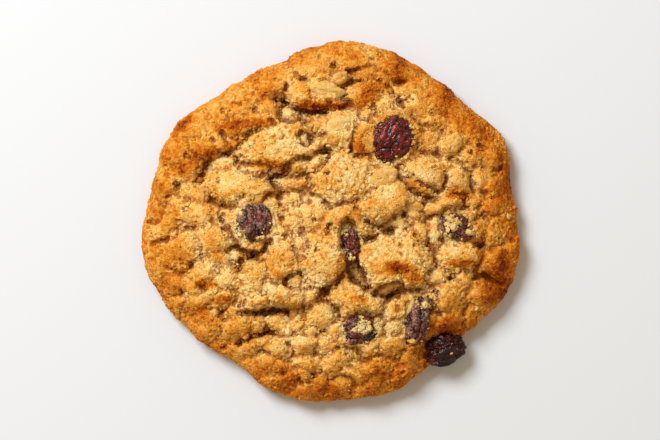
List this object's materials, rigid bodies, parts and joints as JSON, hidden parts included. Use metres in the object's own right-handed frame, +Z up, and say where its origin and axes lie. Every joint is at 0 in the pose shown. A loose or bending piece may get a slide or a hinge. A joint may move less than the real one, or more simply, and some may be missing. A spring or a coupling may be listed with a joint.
{
  "type": "oatmeal raisin cookie",
  "caption": "Round drop-baked oatmeal cookie: a low dome with a cracked, clodded top, a browned rim, a flat underside and raisins seated in the crust.",
  "frame": {"origin": "middle of the underside's bounding rectangle, on the plane the cookie rests on", "axes": "+Z up through the crust; +Y towards the far edge of the cookie as the picture's view from above shows it, +X towards its right edge"},
  "size_m": [0.084, 0.0806, 0.0156],
  "materials": {
    "dough": "baked oat dough: dry, crumbly and matte, pale gold in the middle and browner at the rim",
    "raisin": "dried grape skin: dark red-brown to purple, wrinkled, satin to glossy"
  },
  "bodies": {
    "root": {"dough": "dough", "raisin_far": "raisin", "raisin_left": "raisin", "raisin_middle": "raisin", "raisin_right": "raisin", "raisin_near": "raisin", "raisin_sunken": "raisin", "raisin_edge": "raisin"}
  },
  "joints": []
}
